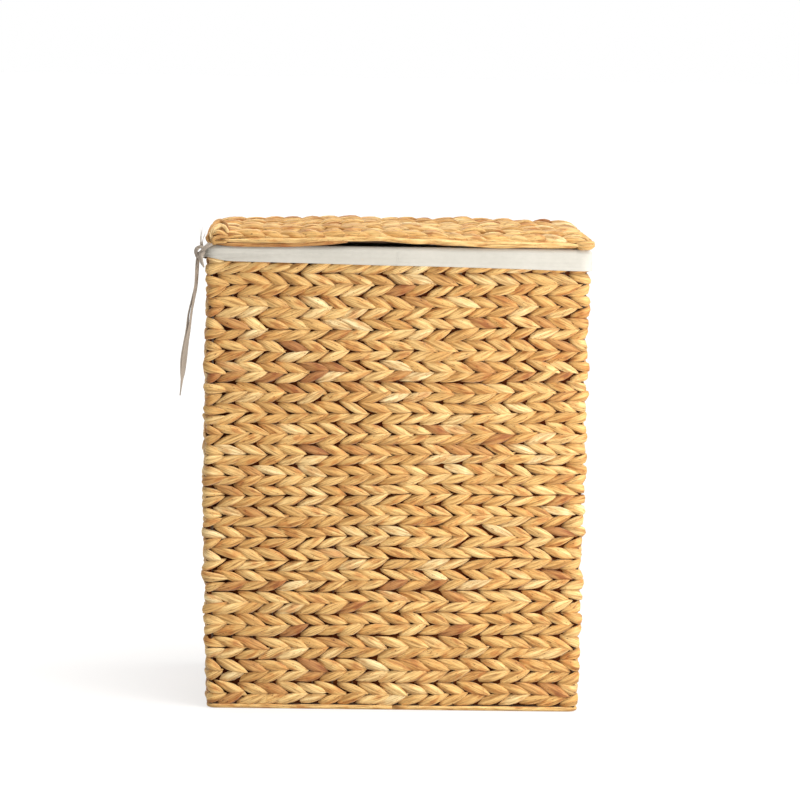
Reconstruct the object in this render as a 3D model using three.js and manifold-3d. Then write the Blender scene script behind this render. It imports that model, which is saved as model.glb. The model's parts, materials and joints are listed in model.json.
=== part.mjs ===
// A lidded laundry basket: strands twined round a welded wire frame, a cotton
// liner turned down over the rim, and a lid that turns on two loops at the back.
// Millimetres, +Z up, +X to the right, the front faces -Y.
// The origin is on the floor, under the middle of the basket.
import * as THREE from "three";
import { mergeVertices } from "three/addons/utils/BufferGeometryUtils.js";
import Module from "manifold-3d";

const wasm = await Module();
wasm.setup();

// Overall sizes
const width = 450;
const depth = 320;
const footShare = 0.98;
const cornerRadius = 10;
const gap = 0.3;
const mitreGap = 0.25;

// Weave
const weaveThick = 12;
const rowHeight = 12.6;
const rowCount = 42;
const ridgeDepth = 2;
const borderHigh = 9.3;
const weaveLow = borderHigh + gap;
const weaveHigh = weaveLow + rowHeight * rowCount;

// Wire frame
const wireInset = weaveThick / 2;
const railRadius = 2.25;
const stakeRadius = 1.25;
const postRadius = 2.5;
const stakePitch = 25;
const lowRailZ = 4.8;
const highRailZ = weaveHigh + railRadius + gap;
const postEnds = [lowRailZ - railRadius, highRailZ + railRadius];

// Rim, liner and cuff
const rimHigh = weaveHigh + gap + 10;
const clothThick = 1.8;
const cuffThick = 2;
const cuffProud = 3;
const cuffLow = 529;
const cuffTop = rimHigh + gap + cuffThick;
const linerInset = weaveThick + 0.5;
const linerInner = linerInset + clothThick;

// Base
const baseLow = 2;
const baseHigh = 12;
const baseWireZ = lowRailZ;
const baseWirePitch = 100;
const linerFloorLow = baseHigh + 0.5;
const linerLow = linerFloorLow + clothThick + gap;

// Lid
const lidThick = 12;
const lidSideProud = 1;
const lidFrontProud = cuffProud;
const lidBorder = 14;
const lidRowHeight = 12.27;
const lidWidth = width + 2 * lidSideProud;
const lidDepth = depth + lidFrontProud;
const lidMidZ = cuffTop + gap + lidThick / 2;
const lidMidY = -lidFrontProud / 2;

// Hinge loops
const loopX = 110;
const loopWide = 8;
const loopInner = 2.6;
const loopOuter = 4;

// Liner tie: a ribbon knotted on the cuff's left side, hanging free
const tieWide = 7;
const tieThick = 2;
const knotAt = [-234, -150, 543];
const knotSize = [9, 14, 14];
const tieRoute = [
  [-236, -150, 535.4],
  [-236.5, -150, 527],
  [-237.5, -150, 514],
  [-239, -150, 500],
  [-242, -150, 484],
  [-245, -150, 467],
  [-247, -150, 449],
  [-249.5, -150, 432],
  [-251.5, -150, 415],
  [-252.5, -150, 400],
  [-254, -150, 386],
  [-255.5, -150, 372],
];

// The walls in their own frame: each faces -Y and is turned into its place
const sides = [
  { name: "front", length: width, half: depth / 2, turn: 0 },
  { name: "back", length: width, half: depth / 2, turn: Math.PI },
  { name: "right", length: depth, half: width / 2, turn: Math.PI / 2 },
  { name: "left", length: depth, half: width / 2, turn: -Math.PI / 2 },
];

const finish = (color, roughness, metalness) =>
  new THREE.MeshStandardMaterial({ color, roughness, metalness });
const straw = finish(0xc79a56, 0.75, 0);
const steel = finish(0x4a4642, 0.5, 0.8);
const cotton = finish(0xdedcd4, 0.9, 0);
const ribbon = finish(0xab9a8b, 0.85, 0);
const cordFinish = finish(0xa37a42, 0.8, 0);

// A closed geometry as a solid that can be joined and cut
function solid(geometry) {
  const bare = geometry.clone();
  bare.deleteAttribute("normal");
  bare.deleteAttribute("uv");
  const merged = mergeVertices(bare);
  return new wasm.Manifold(
    new wasm.Mesh({
      numProp: 3,
      vertProperties: new Float32Array(merged.attributes.position.array),
      triVerts: new Uint32Array(merged.index.array),
    }),
  );
}

// A solid back as a geometry
function geometryOf(made) {
  const mesh = made.getMesh();
  const geometry = new THREE.BufferGeometry();
  geometry.setAttribute("position", new THREE.BufferAttribute(mesh.vertProperties, 3));
  geometry.setIndex(new THREE.BufferAttribute(mesh.triVerts, 1));
  geometry.computeVertexNormals();
  return geometry;
}

// The basket narrows in a straight line from the top of the weave to the floor
function narrowed(geometry) {
  const at = geometry.attributes.position;
  for (let i = 0; i < at.count; i++) {
    const rise = Math.min(1, at.getZ(i) / weaveHigh);
    const share = footShare + (1 - footShare) * rise;
    at.setXY(i, at.getX(i) * share, at.getY(i) * share);
  }
  return geometry;
}

function piece(name, geometry, material) {
  const mesh = new THREE.Mesh(geometry, material);
  mesh.name = name;
  return mesh;
}

const bodyPiece = (name, made, material) => piece(name, narrowed(geometryOf(made)), material);
const joined = (solids) => solids.reduce((all, next) => all.add(next));

function outline(points) {
  return new THREE.Shape(points.map(([x, y]) => new THREE.Vector2(x, y)));
}

// A section drawn in Y and Z, pulled along X and centred
function strip(section, length) {
  const geometry = new THREE.ExtrudeGeometry(section, { depth: length, bevelEnabled: false, curveSegments: 4 });
  const turn = new THREE.Matrix4().makeBasis(
    new THREE.Vector3(0, 1, 0),
    new THREE.Vector3(0, 0, 1),
    new THREE.Vector3(1, 0, 0),
  );
  geometry.applyMatrix4(turn).translate(-length / 2, 0, 0);
  return solid(geometry);
}

// A plan drawn in X and Y, pulled upwards from low to high
function slab(plan, low, high) {
  const geometry = new THREE.ExtrudeGeometry(plan, { depth: high - low, bevelEnabled: false, curveSegments: 1 });
  return solid(geometry.translate(0, 0, low));
}

function block(size, at) {
  return solid(new THREE.BoxGeometry(...size).translate(...at));
}

// A straight wire between two points
function wire(from, to, radius, faces = 6) {
  const a = new THREE.Vector3(...from);
  const b = new THREE.Vector3(...to);
  const geometry = new THREE.CylinderGeometry(radius, radius, a.distanceTo(b), faces);
  const along = b.clone().sub(a).normalize();
  const turn = new THREE.Quaternion().setFromUnitVectors(new THREE.Vector3(0, 1, 0), along);
  geometry.applyQuaternion(turn);
  const middle = a.add(b).multiplyScalar(0.5);
  return solid(geometry.translate(middle.x, middle.y, middle.z));
}

// The plan that one side keeps: mitred ends and rounded outer corners
function mitrePlan(length, half, out, radius) {
  const reach = 40;
  const end = length / 2 + out - mitreGap;
  const edge = -half - out;
  const plan = new THREE.Shape();
  plan.absarc(-(end - radius), edge + radius, radius, 1.25 * Math.PI, 1.5 * Math.PI, false);
  plan.absarc(end - radius, edge + radius, radius, 1.5 * Math.PI, 1.75 * Math.PI, false);
  plan.lineTo(end - reach, edge + reach);
  plan.lineTo(-(end - reach), edge + reach);
  return plan;
}

function mitred(made, side, out, radius, low, high) {
  return made.intersect(slab(mitrePlan(side.length, side.half, out, radius), low - 1, high + 1));
}

// Places of evenly spaced wires between two end wires
function spaced(span, pitch) {
  const count = Math.round(span / pitch);
  return Array.from({ length: count - 1 }, (_, i) => ((i + 1) / count - 0.5) * span);
}

const stakePlaces = (side) => spaced(side.length - 2 * wireInset, stakePitch);

function uprights(side, stake, post) {
  const y = -side.half + wireInset;
  const end = side.length / 2 - wireInset;
  const stakes = stakePlaces(side).map((x) => wire([x, y, lowRailZ], [x, y, highRailZ], stake));
  const posts = [-end, end].map((x) => wire([x, y, postEnds[0] - gap], [x, y, postEnds[1] + gap], post, 8));
  return joined([...stakes, ...posts]);
}

// Room for the two hinge loops, in the back wall's own frame
function loopRoom() {
  const y = -depth / 2 + wireInset;
  const size = [loopWide + 0.8, 2 * (loopOuter + 0.4), 2 * (lidMidZ - highRailZ)];
  const z = lidMidZ - size[2] / 2;
  return joined([-loopX, loopX].map((x) => block(size, [x, y, z + 0.2])));
}

function grille(side) {
  const y = -side.half + wireInset;
  const end = side.length / 2 - wireInset - postRadius - 0.5;
  const rails = [lowRailZ, highRailZ].map((z) => wire([-end, y, z], [end, y, z], railRadius, 8));
  const stakes = stakePlaces(side).map((x) => wire([x, y, lowRailZ], [x, y, highRailZ], stakeRadius));
  return bodyPiece(`${side.name}_wire_grille`, joined([...rails, ...stakes]), steel);
}

function weaveWall(side) {
  const outer = -side.half;
  const points = [[outer + weaveThick, weaveLow], [outer + ridgeDepth, weaveLow]];
  for (let row = 0; row < rowCount; row++) {
    const z = weaveLow + row * rowHeight;
    points.push([outer, z + rowHeight / 2], [outer + ridgeDepth, z + rowHeight]);
  }
  points.push([outer + weaveThick, weaveHigh]);
  return mitred(strip(outline(points), side.length), side, 0, cornerRadius, weaveLow, weaveHigh);
}

function baseBorder(side) {
  const outer = -side.half;
  const slot = outer + wireInset - railRadius - gap;
  const low = lowRailZ - railRadius - gap;
  const high = lowRailZ + railRadius + gap;
  const section = outline([
    [outer, 0], [outer + weaveThick, 0], [outer + weaveThick, low], [slot, low],
    [slot, high], [outer + weaveThick, high], [outer + weaveThick, borderHigh], [outer, borderHigh],
  ]);
  return mitred(strip(section, side.length), side, 0, cornerRadius, 0, borderHigh);
}

function rimWrap(side) {
  const outer = -side.half;
  const low = weaveHigh + gap;
  const top = highRailZ + railRadius + gap;
  const slot = [outer + wireInset - railRadius - gap, outer + wireInset + railRadius + gap];
  const section = outline([
    [outer, low], [slot[0], low], [slot[0], top], [slot[1], top], [slot[1], low],
    [outer + weaveThick, low], [outer + weaveThick, rimHigh], [outer, rimHigh],
  ]);
  return mitred(strip(section, side.length), side, 0, cornerRadius, low, rimHigh);
}

function linerPanel(side) {
  const face = -side.half + linerInset;
  const end = side.length / 2 - linerInset - mitreGap;
  const plan = outline([
    [-end, face], [end, face], [end - clothThick, face + clothThick], [clothThick - end, face + clothThick],
  ]);
  return slab(plan, linerLow, cuffTop - cuffThick - gap);
}

function cuff(side) {
  const outer = -side.half - cuffProud;
  const inner = -side.half + linerInner;
  const under = cuffTop - cuffThick;
  const section = outline([
    [outer, cuffLow], [outer + cuffThick, cuffLow], [outer + cuffThick, under],
    [inner, under], [inner, cuffTop], [outer, cuffTop],
  ]);
  const made = strip(section, side.length + 2 * cuffProud);
  return mitred(made, side, cuffProud, cuffProud, cuffLow, cuffTop);
}

// A loop of cord that holds the lid's rear wire to the rim's rear wire
function hingeLoop(name, x) {
  const y = -depth / 2 + wireInset;
  const ring = (path, radius) => {
    path.absarc(y, lidMidZ, radius, 0, Math.PI, false);
    path.absarc(y, highRailZ, radius, Math.PI, 2 * Math.PI, false);
    path.closePath();
    return path;
  };
  const section = ring(new THREE.Shape(), loopOuter);
  section.holes.push(ring(new THREE.Path(), loopInner));
  const mesh = piece(name, geometryOf(strip(section, loopWide)), cordFinish);
  mesh.position.x = x;
  return mesh;
}

function wall(side) {
  const group = new THREE.Group();
  group.rotation.z = side.turn;
  const room = uprights(side, stakeRadius + gap, postRadius + gap);
  const isBack = side.name === "back";
  const cut = isBack ? room.add(loopRoom()) : room;
  group.add(grille(side));
  group.add(bodyPiece(`${side.name}_weave`, weaveWall(side).subtract(cut), straw));
  group.add(bodyPiece(`base_border_${side.name}`, baseBorder(side).subtract(room), straw));
  group.add(bodyPiece(`rim_wrap_${side.name}`, rimWrap(side).subtract(cut), straw));
  group.add(bodyPiece(`liner_${side.name}`, linerPanel(side), cotton));
  const turned = isBack ? cuff(side).subtract(loopRoom()) : cuff(side);
  group.add(bodyPiece(`liner_cuff_${side.name}`, turned, cotton));
  if (isBack) {
    group.add(hingeLoop("hinge_loop_left", loopX), hingeLoop("hinge_loop_right", -loopX));
  }
  return group;
}

function cornerPosts() {
  const x = width / 2 - wireInset;
  const y = depth / 2 - wireInset;
  const places = { front_left: [-x, -y], front_right: [x, -y], back_left: [-x, y], back_right: [x, y] };
  return Object.entries(places).map(([name, at]) =>
    bodyPiece(`corner_post_${name}`, wire([...at, postEnds[0]], [...at, postEnds[1]], postRadius, 8), steel));
}

const rectangle = (x, y) => outline([[-x, -y], [x, -y], [x, y], [-x, y]]);

function baseGrid(radius, reach) {
  const x = width / 2 - reach;
  const y = depth / 2 - reach;
  const across = spaced(width, baseWirePitch).map((at) => wire([at, -y, baseWireZ], [at, y, baseWireZ], radius));
  const along = spaced(depth, baseWirePitch).map((at) => wire([-x, at, baseWireZ], [x, at, baseWireZ], radius));
  return joined([...across, ...along]);
}

function base() {
  const edge = weaveThick + gap;
  const plan = rectangle(width / 2 - edge, depth / 2 - edge);
  const room = baseGrid(stakeRadius + gap, wireInset + railRadius + gap);
  const floorPlan = rectangle(width / 2 - linerInset, depth / 2 - linerInset);
  return [
    bodyPiece("base_weave", slab(plan, baseLow, baseHigh).subtract(room), straw),
    bodyPiece("base_wire_grid", baseGrid(stakeRadius, wireInset + railRadius + 2 * gap), steel),
    bodyPiece("liner_floor", slab(floorPlan, linerFloorLow, linerFloorLow + clothThick), cotton),
  ];
}

// The lid's pieces are drawn round its own middle
function lidStakes(radius, reach) {
  const y = lidDepth / 2 - reach;
  return spaced(lidWidth - 2 * wireInset, stakePitch).map((x) => wire([x, -y, 0], [x, y, 0], radius));
}

function lidFrame() {
  const x = lidWidth / 2 - wireInset;
  const y = lidDepth / 2 - wireInset;
  const over = railRadius * 0.7;
  const long = [-y, y].map((at) => wire([-x - over, at, 0], [x + over, at, 0], railRadius, 8));
  const short = [-x, x].map((at) => wire([at, -y, 0], [at, y, 0], railRadius, 8));
  const made = joined([...long, ...short, ...lidStakes(stakeRadius, wireInset)]);
  return piece("lid_wire_frame", geometryOf(made), steel);
}

function lidWeave() {
  const x = lidWidth / 2 - lidBorder - gap;
  const y = lidDepth / 2 - lidBorder - gap;
  const rows = Math.round((2 * y) / lidRowHeight);
  const half = lidThick / 2;
  const points = [[-y, -half], [y, -half], [y, half - ridgeDepth]];
  for (let row = rows - 1; row >= 0; row--) {
    const step = (2 * y) / rows;
    points.push([-y + (row + 0.5) * step, half], [-y + row * step, half - ridgeDepth]);
  }
  const made = strip(outline(points), 2 * x).subtract(joined(lidStakes(stakeRadius + gap, 0)));
  return piece("lid_weave", geometryOf(made), straw);
}

// A wrapped edge: round outside, with a slot inside for the wire
function lidEdge(side) {
  const outer = -side.half;
  const half = lidThick / 2;
  const slot = railRadius + gap;
  const section = new THREE.Shape();
  section.absarc(outer + half, 0, half, 0.5 * Math.PI, 1.5 * Math.PI, false);
  section.lineTo(outer + lidBorder, -half);
  section.lineTo(outer + lidBorder, -slot);
  section.lineTo(outer + wireInset - slot, -slot);
  section.lineTo(outer + wireInset - slot, slot);
  section.lineTo(outer + lidBorder, slot);
  section.lineTo(outer + lidBorder, half);
  const made = mitred(strip(section, side.length), side, 0, cornerRadius - 2, -half, half);
  if (side.name !== "back") return made;
  const reach = loopOuter + 0.6;
  const room = [-loopX, loopX].map((x) =>
    block([loopWide + 1.2, reach + wireInset + 1, lidThick + 2], [x, outer + (reach + wireInset - 1) / 2, 0]));
  return made.subtract(joined(room));
}

function lid() {
  const group = new THREE.Group();
  group.position.set(0, lidMidY, lidMidZ);
  group.add(lidFrame(), lidWeave());
  for (const { name, turn } of sides) {
    const isLong = name === "front" || name === "back";
    const length = isLong ? lidWidth : lidDepth;
    const half = (isLong ? lidDepth : lidWidth) / 2;
    const edge = piece(`lid_border_${name}`, geometryOf(lidEdge({ name, length, half })), straw);
    edge.rotation.z = turn;
    group.add(edge);
  }
  return group;
}

function tie() {
  const knot = new THREE.SphereGeometry(0.5, 10, 6).scale(...knotSize);
  const knotMesh = piece("tie_knot", knot, ribbon);
  knotMesh.position.set(...knotAt);
  const section = new THREE.Shape();
  const faces = 8;
  for (let i = 0; i < faces; i++) {
    const angle = ((i + 0.5) / faces) * 2 * Math.PI;
    const at = [(tieThick / 2) * Math.cos(angle), (tieWide / 2) * Math.sin(angle)];
    if (i === 0) section.moveTo(...at);
    else section.lineTo(...at);
  }
  const extrudePath = new THREE.CatmullRomCurve3(tieRoute.map((at) => new THREE.Vector3(...at)));
  const tail = new THREE.ExtrudeGeometry(section, { steps: 24, extrudePath, bevelEnabled: false });
  return [knotMesh, piece("liner_tie", tail, ribbon)];
}

const basket = new THREE.Group();
basket.add(...sides.map(wall), ...cornerPosts(), ...base(), lid(), ...tie());

export default basket;
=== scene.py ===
# %% [markdown]
# # A woven laundry basket with a cotton liner
# The real thing is a wire cage woven over with flat strands of dried water plant. A loose
# cotton bag hangs inside and folds over the rim, and a woven lid turns on two cord loops.
# The measured model gives every size here, so this lesson only gives the pieces their looks.

# %% Load the measured frame
import bmesh
import bpy
import json
import math
import random
from mathutils import Matrix, Vector, noise

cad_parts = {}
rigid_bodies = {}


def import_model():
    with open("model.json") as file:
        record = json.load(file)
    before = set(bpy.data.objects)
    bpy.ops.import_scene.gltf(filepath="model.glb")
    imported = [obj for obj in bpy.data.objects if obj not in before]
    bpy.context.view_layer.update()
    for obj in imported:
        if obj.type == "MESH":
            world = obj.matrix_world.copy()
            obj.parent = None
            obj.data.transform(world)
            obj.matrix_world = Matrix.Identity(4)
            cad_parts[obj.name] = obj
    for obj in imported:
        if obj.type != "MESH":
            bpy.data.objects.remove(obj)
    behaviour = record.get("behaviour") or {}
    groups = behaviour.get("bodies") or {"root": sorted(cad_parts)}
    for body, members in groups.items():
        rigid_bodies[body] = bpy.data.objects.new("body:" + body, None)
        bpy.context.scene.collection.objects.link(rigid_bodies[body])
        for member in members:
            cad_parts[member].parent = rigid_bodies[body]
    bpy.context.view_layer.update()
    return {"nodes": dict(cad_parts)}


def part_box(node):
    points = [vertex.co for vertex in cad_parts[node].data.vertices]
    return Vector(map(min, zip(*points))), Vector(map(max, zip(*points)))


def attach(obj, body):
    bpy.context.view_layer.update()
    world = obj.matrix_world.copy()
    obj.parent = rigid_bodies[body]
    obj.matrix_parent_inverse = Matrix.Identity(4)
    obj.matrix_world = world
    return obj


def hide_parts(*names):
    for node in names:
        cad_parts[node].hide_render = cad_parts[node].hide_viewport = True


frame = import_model()
nodes = frame["nodes"]

# %% [markdown]
# ## Sizes used more than once
# These come from the measured model: the rim's half width and half depth, the top of the
# weave, and how much narrower the foot is. The lid's crown and press lines are shared by
# its weave and its edges, so that they rise and flatten together.

# %% Shared sizes
rim_half_wide, rim_half_deep = 0.225, 0.160
weave_top, foot_share = 0.5388, 0.98
crown_half, crown_from, crown_to = 0.24, -0.163, -0.04
press_from, press_to = 0.120, 0.146
bow_left, bow_wide = 0.03, 0.085  # the front edge bows up a little left of its middle
print("rim", 2 * rim_half_wide, "by", 2 * rim_half_deep, "m, weave up to", weave_top, "m")

# %% [markdown]
# ## Camera
# A long lens from a few metres away keeps the upright edges almost parallel. It looks
# slightly down, so that a sliver of the lid's top shows, and it is rolled by less than a
# degree, so the basket leans a hair.

# %% Camera
def look_from(azimuth, elevation, roll, distance, target, lens):
    a, e, r = (math.radians(x) for x in (azimuth, elevation, roll))
    back = Vector((math.sin(a) * math.cos(e), -math.cos(a) * math.cos(e), math.sin(e)))
    right = Vector((math.cos(a), math.sin(a), 0))
    up = back.cross(right)
    turned = Matrix((right * math.cos(r) + up * math.sin(r),
                     up * math.cos(r) - right * math.sin(r), back)).transposed()
    camera = bpy.data.objects.new("camera", bpy.data.cameras.new("camera"))
    camera.data.lens = lens
    camera.matrix_world = Matrix.Translation(Vector(target) + back * distance) @ turned.to_4x4()
    bpy.context.collection.objects.link(camera)
    bpy.context.scene.camera = camera
    return camera


camera = look_from(-1.288, 5.804, 0.886, 4.4, (0.0074, 0, 0.3548), 162.0)
print("camera at", [round(x, 3) for x in camera.location])

# %% [markdown]
# ## A bench for strands
# Nearly all of this basket is strands: long soft tubes with a flattened section. One helper
# sweeps a section along a path and keeps two things for the finish: a map that runs along
# and round each strand, and a tone that says how dark that strand dried.

# %% Strand helper
map_unit = 0.037  # metres of strand for one unit of its map


def add_mesh(name, mesh):
    """Shades the mesh smooth and puts it in the scene as an object."""
    mesh.polygons.foreach_set("use_smooth", [True] * len(mesh.polygons))
    made = bpy.data.objects.new(name, mesh)
    bpy.context.collection.objects.link(made)
    return made


class Bundle:
    """Collects swept strands, then turns them into one mesh object."""

    def __init__(self):
        self.points, self.faces, self.marks, self.tones = [], [], [], []

    def sweep(self, path, sections, tone=0.5, side=None, unit=map_unit):
        """path: centres. sections: one ring of (across, up) offsets for each centre."""
        path = [Vector(p) for p in path]
        first, size, run = len(self.points), len(sections[0]), 0.0
        across = None
        lengths = []
        for i, centre in enumerate(path):
            ahead = (path[min(i + 1, len(path) - 1)] - path[max(i - 1, 0)]).normalized()
            wanted = Vector(side[i]) if side else (across or ahead.orthogonal())
            across = (wanted - ahead * wanted.dot(ahead)).normalized()
            up = across.cross(ahead)
            for a, b in sections[i]:
                self.points.append(centre + across * a + up * b)
                self.tones.append(tone)
            run += (centre - path[i - 1]).length if i else 0
            lengths.append(run / unit)
        for i in range(len(path) - 1):
            for k in range(size):
                n = (k + 1) % size
                low, high = first + i * size, first + (i + 1) * size
                self.faces.append((low + k, high + k, high + n, low + n))
                u0, u1, v0, v1 = lengths[i], lengths[i + 1], k / size, (k + 1) / size
                self.marks.append(((u0, v0), (u1, v0), (u1, v1), (u0, v1)))
        for start, u, order in ((first, lengths[0], range(size)),
                                (first + (len(path) - 1) * size, lengths[-1],
                                 range(size - 1, -1, -1))):
            self.faces.append(tuple(start + k for k in order))
            self.marks.append(tuple((u, k / size) for k in order))

    def build(self, name, material):
        mesh = bpy.data.meshes.new(name)
        mesh.from_pydata([tuple(p) for p in self.points], [], self.faces)
        uv = mesh.uv_layers.new(name="UVMap")
        flat = [c for face in self.marks for mark in face for c in mark]
        uv.data.foreach_set("uv", flat)
        tone = mesh.attributes.new("tone", "FLOAT", "POINT")
        tone.data.foreach_set("value", self.tones)
        work = bmesh.new()
        work.from_mesh(mesh)
        bmesh.ops.recalc_face_normals(work, faces=work.faces)
        work.to_mesh(mesh)
        work.free()
        mesh.materials.append(material)
        return add_mesh(name, mesh)


def oval(wide, high, count=8, creases=None, square=1.0):
    """A ring of offsets: half width, half height, and creases that dent it."""
    ring = []
    for k in range(count):
        t = math.pi + 2 * math.pi * k / count
        c, s = math.cos(t), math.sin(t)
        dent = 1 + (creases[k] if creases else 0)
        ring.append((wide * dent * math.copysign(abs(c) ** square, c),
                     high * dent * math.copysign(abs(s) ** square, s)))
    return ring


def smooth_path(points, steps):
    """A Catmull-Rom curve through the points, with so many steps for each stretch."""
    points = [Vector(p) for p in points]
    points = [2 * points[0] - points[1], *points, 2 * points[-1] - points[-2]]
    line = []
    for a, b, c, d in zip(points, points[1:], points[2:], points[3:]):
        for i in range(steps):
            t = i / steps
            line.append(0.5 * (2 * b + (c - a) * t + (2 * a - 5 * b + 4 * c - d) * t ** 2
                               + (3 * b - a - 3 * c + d) * t ** 3))
    return line + [points[-2]]


def facing(path, face):
    """The side direction at each point of a strand whose flat face looks along face."""
    last = len(path) - 1
    return [(path[min(i + 1, last)] - path[max(i - 1, 0)]).normalized()
            .cross(Vector(face)).normalized() for i in range(last + 1)]


def register(piece, replaced):
    if replaced:
        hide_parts(*replaced)
    print(piece.name, len(piece.data.polygons), "faces")


def ride_root(piece, *replaced, slot="straw"):
    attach(piece, "root")
    register(piece, replaced)


def ride_lid(piece, *replaced, slot="straw"):
    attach(piece, "lid")
    register(piece, replaced)


print("strand helpers ready, one map unit is", map_unit, "m of strand")


# %% [markdown]
# ## Shared effects for the finishes
# Dried strands show fine lines along the strand, broad streaks of tan and brown, and a few
# dark flecks. Cotton shows its threads crossing. Each effect is a node group with named
# inputs, so that several finishes can share it with their own values.

# %% Node helpers
def put(tree, kind, inputs=(), **settings):
    """Adds a node. inputs: values or sockets, by place or by name."""
    made = tree.nodes.new(kind)
    for name, value in settings.items():
        setattr(made, name, value)
    for key, value in (inputs.items() if isinstance(inputs, dict) else enumerate(inputs)):
        if isinstance(value, bpy.types.NodeSocket):
            tree.links.new(value, made.inputs[key])
        elif value is not None:
            made.inputs[key].default_value = value
    return made


def group(name, kind, inputs, outputs):
    tree = bpy.data.node_groups.new(name, kind)
    for title, socket, value in inputs:
        made = tree.interface.new_socket(title, in_out="INPUT", socket_type="NodeSocket" + socket)
        if value is not None:
            made.default_value = value
    for title, socket in outputs:
        tree.interface.new_socket(title, in_out="OUTPUT", socket_type="NodeSocket" + socket)
    return tree, tree.nodes.new("NodeGroupInput").outputs, tree.nodes.new("NodeGroupOutput").inputs


def math_node(tree, operation, *values):
    return put(tree, "ShaderNodeMath", values, operation=operation).outputs[0]


def ramp(tree, value, *stops):
    made = put(tree, "ShaderNodeValToRGB", [value])
    while len(made.color_ramp.elements) < len(stops):
        made.color_ramp.elements.new(0.5)
    for element, (place, _) in zip(made.color_ramp.elements, stops):
        element.position = place  # this can change the stops' order, so colours come after
    for element, (_, colour) in zip(made.color_ramp.elements, stops):
        element.color = (*colour, 1)
    return made.outputs["Color"]


def blend(tree, amount, under, over, kind="MIX"):
    made = put(tree, "ShaderNodeMix", {0: amount, 6: under, 7: over},
               data_type="RGBA", blend_type=kind)
    return made.outputs[2]


print("node helpers ready")

# %% [markdown]
# The straw effect stretches four noises along the strand, from hair-fine lines to slow
# blotches. The tone picks the strand's dried colour and shifts the noises, so that no two
# strands match. The Tuck input is painted shade, with a little dust: it darkens what lies
# deep under a neighbour.

# %% Straw effect
def straw_effect():
    tree, given, result = group(
        "straw fibre", "ShaderNodeTree",
        [("Along", "Vector", None), ("Tone", "Float", 0.5), ("Tuck", "Float", 0.0)],
        [("Color", "Color"), ("Roughness", "Float"), ("Height", "Float")])
    parts = put(tree, "ShaderNodeSeparateXYZ", [given["Along"]]).outputs
    shift = math_node(tree, "MULTIPLY", given["Tone"], 61.0)

    def lines(along, around, detail):
        vector = put(tree, "ShaderNodeCombineXYZ", [
            math_node(tree, "MULTIPLY", parts[0], along),
            math_node(tree, "MULTIPLY", parts[1], around),
            math_node(tree, "ADD", math_node(tree, "MULTIPLY", parts[2], around), shift)])
        return put(tree, "ShaderNodeTexNoise",
                   {"Vector": vector.outputs[0], "Scale": 1.0, "Detail": detail}).outputs[0]

    fine, streak, blotch, fleck = (lines(2.5, 42, 2), lines(1.3, 11, 3), lines(2.2, 3.5, 3),
                                   lines(9, 26, 2))
    base = ramp(tree, given["Tone"],
                (0.0, (0.42, 0.180, 0.055)), (0.035, (0.56, 0.28, 0.085)),
                (0.11, (0.68, 0.385, 0.118)), (0.50, (0.785, 0.490, 0.170)),
                (0.88, (0.84, 0.565, 0.225)), (1.0, (0.87, 0.66, 0.33)))
    light = ramp(tree, streak, (0.36, (0.55, 0.42, 0.30)), (0.47, (0.92, 0.88, 0.84)),
                 (0.56, (1, 1, 1)), (0.66, (1.2, 1.26, 1.4)))
    colour = blend(tree, 0.8, base, light, "MULTIPLY")
    warm = ramp(tree, blotch, (0.33, (0.72, 0.44, 0.25)), (0.44, (0.95, 0.86, 0.74)),
                (0.52, (1, 1, 1)))
    colour = blend(tree, 0.75, colour, warm, "MULTIPLY")
    thread = ramp(tree, fine, (0.36, (0.52, 0.42, 0.34)), (0.50, (1, 1, 1)),
                  (0.62, (1.12, 1.14, 1.2)))
    colour = blend(tree, 0.65, colour, thread, "MULTIPLY")
    spots = ramp(tree, fleck, (0.30, (0.26, 0.12, 0.05)), (0.35, (1, 1, 1)))
    colour = blend(tree, 0.8, colour, spots, "MULTIPLY")
    # Painted shade, with a little dust: what lies deep under a neighbour is darkened towards deep
    # brown.
    tucked = blend(tree, given["Tuck"], (1, 1, 1, 1), (0.16, 0.08, 0.025, 1))
    colour = blend(tree, 1.0, colour, tucked, "MULTIPLY")
    rough = math_node(tree, "ADD", 0.52, math_node(tree, "MULTIPLY", streak, 0.25))
    height = math_node(tree, "ADD", math_node(tree, "MULTIPLY", fine, 0.55),
                       math_node(tree, "MULTIPLY", streak, 0.75))
    for name, socket in (("Color", colour), ("Roughness", rough), ("Height", height)):
        tree.links.new(socket, result[name])
    return tree


straw_fibre = straw_effect()
print("straw effect has", len(straw_fibre.nodes), "nodes")

# %% [markdown]
# The cloth effect crosses two sets of fine waves, then lets a slow noise make some threads
# thicker. Its scale is in threads for each metre of cloth.

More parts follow.
